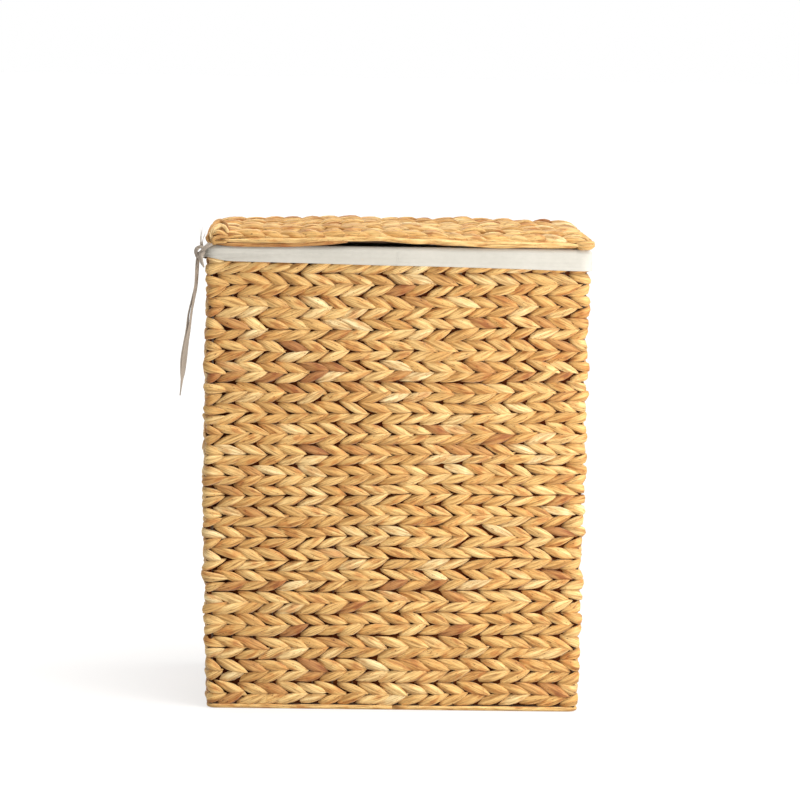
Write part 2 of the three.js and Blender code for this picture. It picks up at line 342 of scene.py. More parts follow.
# %% Cloth effect
def cloth_effect():
    tree, given, result = group(
        "plain weave", "ShaderNodeTree",
        [("Cloth", "Vector", None), ("Threads", "Float", 900.0), ("Shade", "Color", None),
         ("Bright", "Color", None)],
        [("Color", "Color"), ("Height", "Float")])
    parts = put(tree, "ShaderNodeSeparateXYZ", [given["Cloth"]]).outputs

    def wave(value, turn):
        angle = math_node(tree, "MULTIPLY", math_node(tree, "MULTIPLY", value, given["Threads"]),
                          math.tau / 2)
        return math_node(tree, "SINE", math_node(tree, "ADD", angle, turn))

    warp, weft = wave(parts[0], 0.0), wave(parts[1], math.pi / 2)
    cross = math_node(tree, "MULTIPLY", warp, weft)
    slub = put(tree, "ShaderNodeTexNoise",
               {"Vector": given["Cloth"], "Scale": 130.0, "Detail": 3.0}).outputs[0]
    soil = put(tree, "ShaderNodeTexNoise",
               {"Vector": given["Cloth"], "Scale": 14.0, "Detail": 2.0}).outputs[0]
    mask = math_node(tree, "MULTIPLY_ADD", cross, 0.10,
                     math_node(tree, "MULTIPLY_ADD", slub, 0.5, math_node(
                         tree, "MULTIPLY_ADD", soil, 0.7, -0.1)))
    colour = blend(tree, mask, given["Shade"], given["Bright"])
    height = math_node(tree, "MULTIPLY_ADD", slub, 0.6, math_node(tree, "MULTIPLY", cross, 0.4))
    tree.links.new(colour, result["Color"])
    tree.links.new(height, result["Height"])
    return tree


plain_weave = cloth_effect()
print("cloth effect has", len(plain_weave.nodes), "nodes")

# %% [markdown]
# ## Finishes
# Each finish keeps its own shader, and sets what is the same all over on the shader itself.
# Strand finishes read the strand's map. The wire and the hidden rim wraps came from the
# measured model without a map, so theirs read Object coordinates.

# %% Straw finishes
def finish(name, **values):
    made = bpy.data.materials.new(name)
    made.use_nodes = True
    shader = made.node_tree.nodes["Principled BSDF"]
    for key, value in values.items():
        shader.inputs[key.replace("_", " ")].default_value = value
    return made, made.node_tree, shader


def effect(tree, shared, **inputs):
    made = put(tree, "ShaderNodeGroup")
    made.node_tree = shared
    for key, value in inputs.items():
        if isinstance(value, bpy.types.NodeSocket):
            tree.links.new(value, made.inputs[key])
        else:
            made.inputs[key].default_value = value
    return made.outputs


fibre_depth = 0.0013


def straw_finish(name, mapped, tuck_ends, tone=None, tuck_shade=0.0, shine=1.0):
    made, tree, shader = finish(name, IOR=1.45, Sheen_Weight=0.14 * shine, Sheen_Roughness=0.4,
                                Specular_IOR_Level=0.5 * shine)
    if mapped:
        along = put(tree, "ShaderNodeUVMap", uv_map="UVMap").outputs[0]
        dryness = put(tree, "ShaderNodeAttribute", attribute_name="tone").outputs["Fac"]
    else:
        place = put(tree, "ShaderNodeTexCoord").outputs["Object"]
        along = put(tree, "ShaderNodeMapping", {"Vector": place, "Scale": (27, 40, 40)}).outputs[0]
        dryness = tone
    # Painted shade, with a little dust: each stroke's left end, which lies under the stroke before
    # it, is darkened, and the tip of its right end a little.
    if tuck_ends:
        u = put(tree, "ShaderNodeSeparateXYZ", [along]).outputs[0]
        early = put(tree, "ShaderNodeMapRange", [u, 0.03, 0.20, 0.45, 0.0],
                    interpolation_type="SMOOTHSTEP").outputs[0]
        late = put(tree, "ShaderNodeMapRange", [u, 0.93, 1.0, 0.0, 0.35],
                   interpolation_type="SMOOTHSTEP").outputs[0]
        tuck_shade = math_node(tree, "MAXIMUM", early, late)
    out = effect(tree, straw_fibre, Along=along, Tone=dryness, Tuck=tuck_shade)
    bump = put(tree, "ShaderNodeBump",
               {"Strength": 0.9, "Distance": fibre_depth, "Height": out["Height"]})
    tree.links.new(out["Color"], shader.inputs["Base Color"])
    tree.links.new(out["Roughness"], shader.inputs["Roughness"])
    tree.links.new(bump.outputs[0], shader.inputs["Normal"])
    return made


stroke_straw = straw_finish("straw stroke", True, True)
strand_straw = straw_finish("straw strand", True, False)
wrap_straw = straw_finish("straw wrap", False, False, tone=0.4)
# Painted shade: the hidden cores get the darkest straw, darkened in full and with little shine.
core_straw = straw_finish("straw in shadow", False, False, tone=0.0, tuck_shade=1.0, shine=0.1)
print("straw finishes:", [m.name for m in (stroke_straw, strand_straw, wrap_straw, core_straw)])

# %% [markdown]
# The cloths share one effect and differ in colour, thread count and relief. The wire is
# dark paint with a fine grit, and it hardly shines, so it stays out of sight in the gaps.

# %% Cotton, ribbon, cord and wire finishes
def cloth_finish(name, shade, bright, threads, deep, roughness):
    made, tree, shader = finish(name, IOR=1.45, Roughness=roughness, Sheen_Weight=0.25,
                                Sheen_Roughness=0.5)
    cloth = put(tree, "ShaderNodeUVMap", uv_map="UVMap").outputs[0]
    out = effect(tree, plain_weave, Cloth=cloth, Threads=threads,
                 Shade=(*shade, 1), Bright=(*bright, 1))
    bump = put(tree, "ShaderNodeBump", {"Strength": 0.6, "Distance": deep, "Height": out["Height"]})
    tree.links.new(out["Color"], shader.inputs["Base Color"])
    tree.links.new(bump.outputs[0], shader.inputs["Normal"])
    return made


def wire_finish():
    made, tree, shader = finish("painted wire", IOR=1.5, Specular_IOR_Level=0.2)
    place = put(tree, "ShaderNodeTexCoord").outputs["Object"]
    grit = put(tree, "ShaderNodeTexNoise", {"Vector": place, "Scale": 260.0, "Detail": 3.0})
    colour = ramp(tree, grit.outputs[0], (0.3, (0.030, 0.017, 0.009)), (0.7, (0.070, 0.038, 0.020)))
    rough = math_node(tree, "MULTIPLY_ADD", grit.outputs[0], 0.4, 0.3)
    bump = put(tree, "ShaderNodeBump", {"Distance": 0.0002, "Height": grit.outputs[0]})
    tree.links.new(colour, shader.inputs["Base Color"])
    tree.links.new(rough, shader.inputs["Roughness"])
    tree.links.new(bump.outputs[0], shader.inputs["Normal"])
    return made


liner_cotton = cloth_finish("liner cotton", (0.47, 0.45, 0.39), (0.64, 0.605, 0.535),
                            threads=1500, deep=0.0002, roughness=0.85)
tie_cotton = cloth_finish("tie ribbon", (0.27, 0.215, 0.16), (0.52, 0.44, 0.36),
                          threads=1100, deep=0.0003, roughness=0.8)
loop_cotton = cloth_finish("loop cord", (0.36, 0.24, 0.12), (0.66, 0.50, 0.30),
                           threads=900, deep=0.0003, roughness=0.8)
painted_wire = wire_finish()
print("cloth and wire finishes made")

# %% [markdown]
# ## The liner's drawstring end
# The bag closes with a flat cotton tape. Its doubled end hangs limp beside the left wall
# from a knot at the cuff's corner. The route is the measured model's own, point by point.
# The two layers part a little half way down and meet again at the pointed end.

# %% Drawstring tail
tie_route = [(-0.236, -0.150, 0.5354), (-0.2365, -0.150, 0.527), (-0.2375, -0.150, 0.514),
             (-0.239, -0.150, 0.500), (-0.242, -0.150, 0.484), (-0.245, -0.150, 0.467),
             (-0.247, -0.150, 0.449), (-0.2495, -0.150, 0.432), (-0.2515, -0.150, 0.415),
             (-0.2525, -0.150, 0.400), (-0.254, -0.150, 0.386), (-0.2555, -0.150, 0.372)]
tie_path = smooth_path(tie_route, 5)


def tail_layer(bundle, sign, tone):
    path, sections, sides = [], [], []
    for i, centre in enumerate(tie_path):
        t = i / (len(tie_path) - 1)
        part = 0.0005 + 0.0019 * math.exp(-((t - 0.50) / 0.10) ** 2)
        face = math.exp(-((t - 0.70) / 0.16) ** 2)
        angle = math.radians(46 + 26 * math.exp(-((t - 0.45) / 0.15) ** 2) - 30 * face
                             + 10 * math.sin(9 * t + sign))
        wide = (0.0029 + 0.0004 * math.sin(11 * t)) * min(1.0, 0.55 + 3 * t, 0.12 + 5 * (1 - t))
        sway = 0.0004 * math.sin(17 * t + 2 * sign)
        path.append(centre + Vector((sign * part * (1 - t * 0.6) + sway, sign * 0.0004, 0)))
        sides.append((math.cos(angle), math.sin(angle), 0))
        sections.append([(a, b + 0.0005 * math.cos(3 * a / wide)) for a, b in
                         oval(wide, 0.00042, 10)])
    bundle.sweep(path, sections, tone, sides, unit=1.0)


tail = Bundle()
tail_layer(tail, -1, 0.4)
tail_layer(tail, 1, 0.6)
tie = tail.build("tie_tail", tie_cotton)
ride_root(tie, "liner_tie", slot="tie_ribbon")
tie_long = sum((b - a).length for a, b in zip(tie_path, tie_path[1:]))
print("tape hangs", round(tie_long, 4), "m")

# %% [markdown]
# At the cuff's corner the tape is knotted: three narrow turns cross, a ring goes round
# them, two short ends hang and a few frayed hairs stand up.

# %% Knot at the cuff's corner
knot_bundle = Bundle()
random_knot = random.Random(5)


def tape(points, wide, tone, face=(0, -1, 0), taper=0.0, steps=5, thick=0.0005):
    path = smooth_path(points, steps)
    last = len(path) - 1
    knot_bundle.sweep(path, [oval(wide * (1 - taper * (i / last) ** 2), thick, 8,
                                  [random_knot.uniform(-0.1, 0.1) for k in range(8)])
                             for i in range(last + 1)], tone, facing(path, face), unit=1.0)


tape([(-0.2185, -0.1660, 0.5520), (-0.2240, -0.1675, 0.5490), (-0.2290, -0.1660, 0.5450),
      (-0.2345, -0.1585, 0.5405), (-0.2362, -0.1520, 0.5372), (-0.2360, -0.1498, 0.5340)],
     0.0017, 0.9)
tape([(-0.2215, -0.1655, 0.5530), (-0.2262, -0.1670, 0.5500), (-0.2312, -0.1650, 0.5440),
      (-0.2350, -0.1590, 0.5392), (-0.2362, -0.1515, 0.5350)], 0.0013, 0.3)
tape([(-0.2275, -0.1660, 0.5475), (-0.2325, -0.1672, 0.5490), (-0.2372, -0.1630, 0.5468),
      (-0.2385, -0.1560, 0.5420), (-0.2372, -0.1500, 0.5360)], 0.0017, 0.7)
ring = [(-0.2318 + 0.0042 * math.cos(a) - 0.001, -0.1620 + 0.0035 * math.sin(2 * a),
         0.5430 + 0.0050 * math.sin(a)) for a in (math.tau * k / 10 for k in range(11))]
tape(ring, 0.0020, 0.55, (-0.5, -0.8, 0), thick=0.0011)
tape([(-0.2300, -0.1655, 0.5425), (-0.2312, -0.1680, 0.5370), (-0.2304, -0.1672, 0.5315),
      (-0.2283, -0.1660, 0.5245)], 0.0019, 0.45, taper=0.5)
tape([(-0.2325, -0.1655, 0.5415), (-0.2335, -0.1672, 0.5360), (-0.2318, -0.1665, 0.5300),
      (-0.2290, -0.1655, 0.5262)], 0.0012, 0.8, taper=0.5)
for k in range(9):
    x, lean = -0.2318 + 0.0004 * k, random_knot.uniform(-0.0035, 0.004)
    high = random_knot.uniform(0.010, 0.024)
    tape([(x, -0.1600, 0.5470), (x - 0.0012, -0.1650, 0.5525),
          (x + lean * 0.4 - 0.001, -0.1665, 0.5550 + high * 0.4),
          (x + lean, -0.1655 + 0.001 * (k % 3), 0.5540 + high)],
         0.00026, 0.9, taper=0.8, steps=3, thick=0.0002)
knot = knot_bundle.build("tie_knot_wraps", tie_cotton)
ride_root(knot, "tie_knot", slot="tie_ribbon")

# %% [markdown]
# ## One stroke of the weave
# Two strands twist round each upright and cross between uprights. Seen from outside, each
# crossing shows as one fat stroke: its left end tucks under the stroke before it, and its
# right end lies on top and comes to a point. A row of strokes rises to the right, the next
# row falls, and together they make the arrow pattern. A few dozen faces are enough, because
# the finish adds the fibres.

# %% Stroke shapes
stroke_tall, stroke_deep = 0.0067, 0.0035  # half sizes of a stroke's section


def stroke(name, rise, seed, bend=0.0):
    rng = random.Random(seed)
    half = (0.0212 if bend else 0.0204) * rng.uniform(0.93, 1.08)
    places = ((-1, -0.85, -0.55, -0.30, -0.10, 0.10, 0.30, 0.55, 0.80, 0.94, 1) if bend
              else (-1, -0.84, -0.56, -0.20, 0.15, 0.48, 0.76, 0.93, 1))
    tall = stroke_tall * rng.uniform(0.96, 1.04)
    deep = stroke_deep * rng.uniform(0.92, 1.08)
    slope = rise * (0.27 if bend else 0.33) + rng.uniform(-0.03, 0.03)
    creases = [rng.uniform(-0.12, 0.05) for k in range(8)]
    if seed % 3 == 0:
        creases[3 if seed % 2 else 5] = -0.34  # a strand folded along its length
    sections = []
    for s in places:
        x = half * s
        fat = max(0.05, (1 - abs(s) ** 2.7) ** (0.56 if s > 0 else 0.24))
        thick = max(0.10, (1 - abs(s) ** 2.8) ** 0.6)
        out = 0.0018 * s - (0.0023 if s < 0 else 0.0026) * abs(s) ** 2.2
        ring = []
        for a, b in oval(deep * thick, tall * fat, 8, creases):
            b = b + slope * x + 0.0006 * rise * math.sin(2.4 * s)
            b = b / (1 + abs(b / stroke_tall) ** 5) ** 0.2  # stays inside its row
            ring.append((a + out + rng.uniform(-0.0001, 0.0001), b))
        sections.append(ring)
    bundle = Bundle()
    bundle.sweep([(half * s, 0, 0) for s in places], sections, 0.5,
                 [(0, -1, 0)] * len(places), unit=2 * half)
    if bend:
        bundle.points = [bent(p, bend) for p in bundle.points]
    made = bundle.build(name, stroke_straw)
    made.data.attributes.remove(made.data.attributes["tone"])  # the tree gives each its own
    return made


def bent(point, radius):
    """Wraps a flat stroke round an upright corner whose middle is at the origin."""
    reach, out = radius * math.pi / 4, radius - point.y
    if point.x < -reach:
        return Vector((point.x + reach, -out, point.z))
    if point.x > reach:
        return Vector((out, point.x - reach, point.z))
    turn = point.x / radius - math.pi / 4
    return Vector((out * math.cos(turn), out * math.sin(turn), point.z))


def stroke_set(name, kinds, bend=0.0):
    """Rising strokes first, then falling ones: the tree picks them by number."""
    kept = bpy.data.collections.new(name)
    bpy.context.scene.collection.children.link(kept)
    for letter, rise in (("a_rising", 1), ("b_falling", -1)):
        for k in range(kinds):
            made = stroke(f"{name}_{letter}_{k}", rise, 11 * k + (3 if rise > 0 else 7), bend)
            bpy.context.collection.objects.unlink(made)
            kept.objects.link(made)
    return kept


kinds = 7
flat_strokes = stroke_set("stroke", kinds)
corner_strokes = stroke_set("corner", kinds, bend=0.0068)

# %% [markdown]
# ## The weaving rule
# A wall is rows of strokes: every second row rises. The tree lays out the points, picks a
# stroke for each, makes it real, and then bends the finished cloth of straw as the maker's
# hands did: rows wander a little, climb to the right, and the walls narrow to the foot. The
# wander is read from where each point really is, so rows meet at the corners.

# %% Weaving tree
def weaving_tree():
    tree, given, result = group(
        "twined rows", "GeometryNodeTree",
        [("Core", "Geometry", None), ("Strokes", "Collection", None), ("Kinds", "Int", 7),
         ("Columns", "Int", 17), ("Column pitch", "Float", 0.0243), ("Rows", "Int", 42),
         ("Row height", "Float", 0.01287), ("Lowest row", "Float", 0.0053),
         ("Swell", "Float", 0.0), ("Climb", "Float", 0.0), ("Reach", "Float", 0.157),
         ("Lift", "Float", 0.0003), ("Wander", "Float", 0.005), ("Foot share", "Float", 1.0),
         ("Full height", "Float", weave_top), ("Belly", "Float", 0.0), ("Crown", "Float", 0.0),
         ("Bow", "Float", 0.0), ("Hump", "Float", 0.0), ("Puff", "Float", 1.0),
         ("Fill", "Float", 1.0), ("Sway", "Float", 0.0), ("Press", "Float", 0.0),
         ("First falls", "Float", 0.0), ("Turn", "Vector", None), ("Place", "Vector", None),
         ("Seed", "Int", 1), ("Finish", "Material", None)],
        [("Woven", "Geometry")])

    def m(operation, *values):
        return math_node(tree, operation, *values)

    def chance(low, high, number, salt):
        return put(tree, "FunctionNodeRandomValue",
                   {2: low, 3: high, 7: number, 8: m("ADD", given["Seed"], salt)}).outputs[1]

    def xyz(*values):
        return put(tree, "ShaderNodeCombineXYZ", values).outputs[0]

    points = put(tree, "GeometryNodePoints",
                 {"Count": m("MULTIPLY", given["Columns"], given["Rows"])}).outputs[0]
    number = put(tree, "GeometryNodeInputIndex").outputs[0]
    row = m("FLOOR", m("DIVIDE", m("ADD", number, 0.5), given["Columns"]))
    column = m("SUBTRACT", number, m("MULTIPLY", row, given["Columns"]))
    middle = m("MULTIPLY", m("SUBTRACT", given["Columns"], 1.0), 0.5)
    along = m("MULTIPLY", m("SUBTRACT", column, middle), given["Column pitch"])
    share = m("DIVIDE", m("ADD", row, 0.5), given["Rows"])
    swell = m("MULTIPLY", given["Swell"], m("SINE", m("MULTIPLY", share, math.tau)))
    gather = m("MULTIPLY", m("MULTIPLY", given["Swell"], 1.15),
               m("SINE", m("MULTIPLY", share, math.pi)))
    height = m("MULTIPLY", m("ADD", m("ADD", share, swell), gather),
               m("MULTIPLY", given["Rows"], given["Row height"]))
    height = m("ADD", m("ADD", height, given["Lowest row"]), chance(-0.0008, 0.0008, row, 21))
    along = m("ADD", along, chance(-0.0019, 0.0019, number, 31))
    out = m("ADD", given["Reach"], m("MULTIPLY", given["Lift"], chance(-1.0, 1.0, row, 41)))
    out = m("ADD", out, chance(-0.0005, 0.0005, number, 51))
    points = put(tree, "GeometryNodeSetPosition",
                 {"Geometry": points, "Position": xyz(along, m("MULTIPLY", out, -1.0), height)})
    odd = m("MODULO", m("ADD", row, given["First falls"]), 2.0)
    pick = m("ADD", m("MULTIPLY", odd, given["Kinds"]),
             m("FLOOR", chance(0.0, m("SUBTRACT", given["Kinds"], 0.01), number, 61)))
    tall = m("MULTIPLY", m("MULTIPLY", given["Fill"], m("DIVIDE", given["Row height"], 0.0126)),
             m("ADD", 1.0, m("MULTIPLY", m("MULTIPLY", given["Swell"], math.tau),
                             m("COSINE", m("MULTIPLY", share, math.tau)))))
    size = xyz(chance(0.92, 1.12, number, 71),
               m("MULTIPLY", given["Puff"], chance(0.78, 1.22, number, 81)),
               m("MULTIPLY", tall, chance(0.90, 1.07, number, 91)))
    tilt = xyz(chance(-0.14, 0.14, number, 101), chance(-0.085, 0.085, number, 111),
               chance(-0.06, 0.06, number, 121))
    strokes = put(tree, "GeometryNodeCollectionInfo", [given["Strokes"], True, True]).outputs[0]
    laid = put(tree, "GeometryNodeInstanceOnPoints",
               {"Points": points.outputs[0], "Instance": strokes, "Pick Instance": True,
                "Instance Index": pick, "Rotation": tilt, "Scale": size}).outputs[0]
    toned = put(tree, "GeometryNodeStoreNamedAttribute",
                {"Geometry": laid, "Name": "tone", "Value": chance(0.0, 1.0, number, 131)},
                domain="INSTANCE", data_type="FLOAT").outputs[0]
    real = put(tree, "GeometryNodeRealizeInstances", [toned]).outputs[0]
    both = put(tree, "GeometryNodeJoinGeometry")
    tree.links.new(given["Core"], both.inputs[0])
    tree.links.new(real, both.inputs[0])
    turn = put(tree, "FunctionNodeEulerToRotation", [given["Turn"]]).outputs[0]
    placed = put(tree, "GeometryNodeTransform",
                 {"Geometry": both.outputs[0], "Translation": given["Place"],
                  "Rotation": turn}).outputs[0]
    where = put(tree, "GeometryNodeInputPosition").outputs[0]
    wave = put(tree, "ShaderNodeTexNoise", {"Vector": where, "Scale": 11.0, "Detail": 2.0})
    wave = put(tree, "ShaderNodeVectorMath", [wave.outputs[1], (0.5, 0.5, 0.5)],
               operation="SUBTRACT").outputs[0]
    wave = put(tree, "ShaderNodeVectorMath", {0: wave, 3: given["Wander"]},
               operation="SCALE").outputs[0]
    x, y, z = put(tree, "ShaderNodeSeparateXYZ", [where]).outputs
    early = put(tree, "ShaderNodeMapRange", [z, 0.0, 0.12, 0.25, 1.0]).outputs[0]
    climb = m("MULTIPLY", m("MULTIPLY", x, given["Climb"]), early)
    across = m("SUBTRACT", 1.0, m("POWER", m("DIVIDE", x, crown_half), 2.0))
    rise = put(tree, "ShaderNodeMapRange", [y, crown_from, crown_to, 0.0, 1.0]).outputs[0]
    rear = put(tree, "ShaderNodeMapRange", [y, press_from, press_to, 0.0, 1.0],
               interpolation_type="SMOOTHSTEP").outputs[0]
    crown = m("MULTIPLY", m("MULTIPLY", across, rise), m("SUBTRACT", 1.0, rear))
    climb = m("ADD", climb, m("MULTIPLY", crown, given["Crown"]))
    middle_z = put(tree, "ShaderNodeSeparateXYZ", [given["Place"]]).outputs[2]
    pressed = m("MULTIPLY", m("MULTIPLY", m("SUBTRACT", z, middle_z), rear), given["Press"])
    climb = m("SUBTRACT", climb, pressed)
    bell = m("POWER", m("DIVIDE", m("ADD", x, bow_left), bow_wide), 2.0)
    bell = m("EXPONENT", m("MULTIPLY", bell, -1.0))
    climb = m("MULTIPLY_ADD", m("MULTIPLY", bell, m("SUBTRACT", 1.0, rise)), given["Bow"], climb)
    edge = m("DIVIDE", m("MAXIMUM", 0.0, m("ADD", y, 0.157)), -0.018)
    edge = m("SUBTRACT", 1.0, m("EXPONENT", edge))
    fall = put(tree, "ShaderNodeMapRange", [y, 0.0, 0.16, 1.0, 0.0]).outputs[0]
    climb = m("MULTIPLY_ADD", m("MULTIPLY", edge, fall), given["Hump"], climb)
    level = m("DIVIDE", z, given["Full height"])
    arch = m("SINE", m("MULTIPLY", level, math.pi))
    sway = m("MULTIPLY", given["Sway"], arch)
    wave = put(tree, "ShaderNodeVectorMath", [wave, xyz(sway, 0.0, climb)],
               operation="ADD").outputs[0]
    moved = put(tree, "GeometryNodeSetPosition", {"Geometry": placed, "Offset": wave}).outputs[0]
    grown = m("MULTIPLY_ADD", m("MAXIMUM", m("MINIMUM", 1.0, level), 0.0),
              m("SUBTRACT", 1.0, given["Foot share"]), given["Foot share"])
    grown = m("MULTIPLY_ADD", m("MAXIMUM", 0.0, arch), given["Belly"], grown)
    narrow = put(tree, "ShaderNodeVectorMath", [where, xyz(grown, grown, 1.0)],
                 operation="MULTIPLY").outputs[0]
    narrowed = put(tree, "GeometryNodeSetPosition",
                   {"Geometry": moved, "Position": narrow}).outputs[0]
    kept = put(tree, "GeometryNodeInputNamedAttribute", ["tone"], data_type="FLOAT").outputs[0]
    drawn = put(tree, "FunctionNodeCompare", {0: kept, 1: -0.5}, operation="GREATER_THAN")
    done = put(tree, "GeometryNodeSetMaterial",
               [narrowed, drawn.outputs[0], given["Finish"]]).outputs[0]
    tree.links.new(done, result[0])
    return tree


twined_rows = weaving_tree()
print("weaving tree has", len(twined_rows.nodes), "nodes")

# %% [markdown]
# Behind the strokes lies the other strand of each pair, in the shade between the wires. A
# ridged slab stands in for those hidden strands, one ridge for each row, so that no light
# shows through the gaps. Its straw is painted dark as shade.

# %% Hidden core and weaving call
def ridged_core(name, wide, low, high, outer, inner, rows):
    across, up = 6, rows * 3
    points, faces = [], []
    for face in (0, 1):
        for j in range(up + 1):
            ridge = 0.0012 * abs(math.sin(math.pi * j / 3)) if face == 0 else 0.0
            for i in range(across + 1):
                points.append((wide * (i / across - 0.5), -(outer + ridge) if face == 0 else -inner,
                               low + (high - low) * j / up))
    size = (across + 1) * (up + 1)

    def at(face, i, j):
        return face * size + j * (across + 1) + i

    for j in range(up):
        for i in range(across):
            faces.append((at(0, i, j), at(0, i + 1, j), at(0, i + 1, j + 1), at(0, i, j + 1)))
            faces.append((at(1, i, j), at(1, i, j + 1), at(1, i + 1, j + 1), at(1, i + 1, j)))
    for i in range(across):
        faces.append((at(0, i, 0), at(1, i, 0), at(1, i + 1, 0), at(0, i + 1, 0)))
        faces.append((at(0, i, up), at(0, i + 1, up), at(1, i + 1, up), at(1, i, up)))
    for j in range(up):
        faces.append((at(0, 0, j), at(0, 0, j + 1), at(1, 0, j + 1), at(1, 0, j)))
        faces.append((at(0, across, j), at(1, across, j),
                      at(1, across, j + 1), at(0, across, j + 1)))
    mesh = bpy.data.meshes.new(name)
    mesh.from_pydata(points, [], faces)
    mesh.attributes.new("tone", "FLOAT", "POINT").data.foreach_set("value", [-1.0] * len(points))
    mesh.uv_layers.new(name="UVMap")
    mesh.materials.append(core_straw)
    return add_mesh(name, mesh)


def weave(name, core, **values):
    """Runs the tree on a core and returns the result as a plain mesh piece."""
    modifier = core.modifiers.new("weave", "NODES")
    modifier.node_group = twined_rows
    values.setdefault("Strokes", flat_strokes)
    values["Finish"] = stroke_straw
    values["Kinds"] = kinds
    for item in twined_rows.interface.items_tree:
        if item.in_out == "INPUT" and item.name.replace(" ", "_") in values:
            modifier[item.identifier] = values[item.name.replace(" ", "_")]
    bpy.context.view_layer.update()
    ready = core.evaluated_get(bpy.context.evaluated_depsgraph_get())
    mesh = bpy.data.meshes.new_from_object(ready)
    mesh.name = name
    made = add_mesh(name, mesh)
    bpy.data.objects.remove(core)
    return made


print("weaving call ready, with", kinds, "kinds of stroke each way")

# %% [markdown]
# ## The four walls and their corners
# Forty-two rows stand between the foot and the cuff. The front and back have seventeen
# uprights each and the sides eleven. At each corner a longer stroke wraps round the post.

# %% Walls
wall_rows = 42
wall_facts = dict(Rows=wall_rows, Row_height=0.01287, Lowest_row=0.0053, Swell=0.0095,
                  Climb=0.0155, Wander=0.0085, Foot_share=foot_share, Belly=0.012,
                  Sway=-0.0016, Full_height=weave_top, Lift=0.0004, Fill=1.09)
long_wall = (rim_half_wide, rim_half_deep, 17, 0.02433)
short_wall = (rim_half_deep, rim_half_wide, 11, 0.02567)
walls = (("front", 0, *long_wall), ("right", 90, *short_wall),
         ("back", 180, *long_wall), ("left", 270, *short_wall))
for index, (side, degrees, half_wide, reach, columns, pitch) in enumerate(walls):
    core = ridged_core(side + "_core", 2 * half_wide - 0.014, 0.004, 0.540, reach - 0.0062,
                       reach - 0.0110, wall_rows)
    wall = weave(side + "_wall_strokes", core, Columns=columns, Column_pitch=pitch,
                 Reach=reach - 0.0031, Turn=(0.0, 0.0, math.radians(degrees)),
                 Seed=5 + index * 1000, **wall_facts)
    ride_root(wall, side + "_weave")

# %% [markdown]
# The corner strokes share the walls' facts, so their rows meet the walls' rows. A thin
# post stands behind them, its straw painted dark as shade.

# %% Corners
corner_places = (("front_right", 0, 0.2156, -0.1506), ("back_right", 90, 0.2156, 0.1506),
                 ("back_left", 180, -0.2156, 0.1506), ("front_left", 270, -0.2156, -0.1506))
for index, (corner, degrees, x, y) in enumerate(corner_places):
    post = Bundle()
    post.sweep([(0.0015, -0.0015, 0.004 + 0.0536 * k) for k in range(11)],
               [oval(0.0035, 0.0035, 8)] * 11, -1.0)
    core = post.build(corner + "_core", core_straw)
    bend = weave(corner + "_corner_strokes", core, Columns=1, Column_pitch=0.0,
                 Reach=0.0, Turn=(0.0, 0.0, math.radians(degrees)), Place=(x, y, 0.0),
                 Strokes=corner_strokes, Seed=9000 + index * 100, **wall_facts)
    ride_root(bend)

# %% [markdown]
# ## Underside
# The floor of the basket is woven the same way, flat, and it is seen only from below.

# %% Base
core = ridged_core("base_core", 0.425, -0.147, 0.147, -0.0012, -0.0030, 23)
base = weave("base_strokes", core, Columns=17, Column_pitch=0.0243, Rows=23, Row_height=0.0126,
             Lowest_row=-0.145, Reach=0.0016, Turn=(math.pi / 2, 0.0, 0.0), Lift=0.0003,
             Place=(0.0, 0.0, 0.0075), Wander=0.003, Puff=0.93, Foot_share=foot_share, Seed=77)
ride_root(base, "base_weave")

# %% [markdown]
# ## Bottom border
# One thick strand runs round the foot, under the lowest row, with a second one inside it.
# It is rounded at the corners, and it swells and thins as a dried strand does.

# %% Border strands
def ring_path(half_wide, half_deep, radius, z, steps=9, gap=0.018):
    """A rounded rectangle, anticlockwise from the middle of the front, closed on itself."""
    line = []
    straight = [((0, -half_deep), (half_wide - radius, -half_deep)),
                ((half_wide, radius - half_deep), (half_wide, half_deep - radius)),
                ((half_wide - radius, half_deep), (radius - half_wide, half_deep)),
                ((-half_wide, half_deep - radius), (-half_wide, radius - half_deep)),
                ((radius - half_wide, -half_deep), (0, -half_deep))]
    centres = [(1, -1), (1, 1), (-1, 1), (-1, -1)]
    for k, (a, b) in enumerate(straight):
        a, b = Vector((*a, z)), Vector((*b, z))
        count = max(2, round((b - a).length / gap))
        line += [a.lerp(b, i / count) for i in range(count + 1)]
        if k < 4:
            cx, cy = (half_wide - radius) * centres[k][0], (half_deep - radius) * centres[k][1]
            start = math.radians(-90 + 90 * k)
            line += [Vector((cx + radius * math.cos(start + math.pi / 2 * i / steps),
                             cy + radius * math.sin(start + math.pi / 2 * i / steps), z))
                     for i in range(1, steps)]
    return line


border = Bundle()
for inset, deep, tone in ((0.0042, 0.0046, 0.66), (0.0112, 0.0040, 0.3)):
    line = ring_path(0.2205 - inset, 0.1568 - inset, 0.0095 - inset / 2, 0.0)
    shaped, rings = [], []
    for p in line:
        sway = noise.noise(Vector((p.x * 30, p.y * 30, inset * 500)))
        high = 0.00265 + 0.00025 * sway
        shaped.append(Vector((p.x, p.y, 1.06 * high)))
        rings.append(oval(deep * (1 + 0.06 * sway), high, 10,
                          [0.05 * math.sin(5 * k + inset * 900) for k in range(10)], 0.8))
    border.sweep(shaped, rings, tone, facing(line, (0, 0, 1)))
foot = border.build("bottom_border", strand_straw)
ride_root(foot, "base_border_front", "base_border_back", "base_border_left", "base_border_right")

# %% [markdown]
# ## The lid's weave
# The lid is a thick mat: strokes above, strokes below, and the wire between them. It is
# less even than the walls. Some rows stand proud, and the middle of its back rises a
# little, so a low view shows a few heaped tiers of strokes. The last rows are pressed flat,
# to leave room for the rim when the lid swings right over.

# %% Lid mat
lid_middle, lid_rows = 0.5577, 26
crown, bow, hump = 0.0035, 0.0048, 0.0042


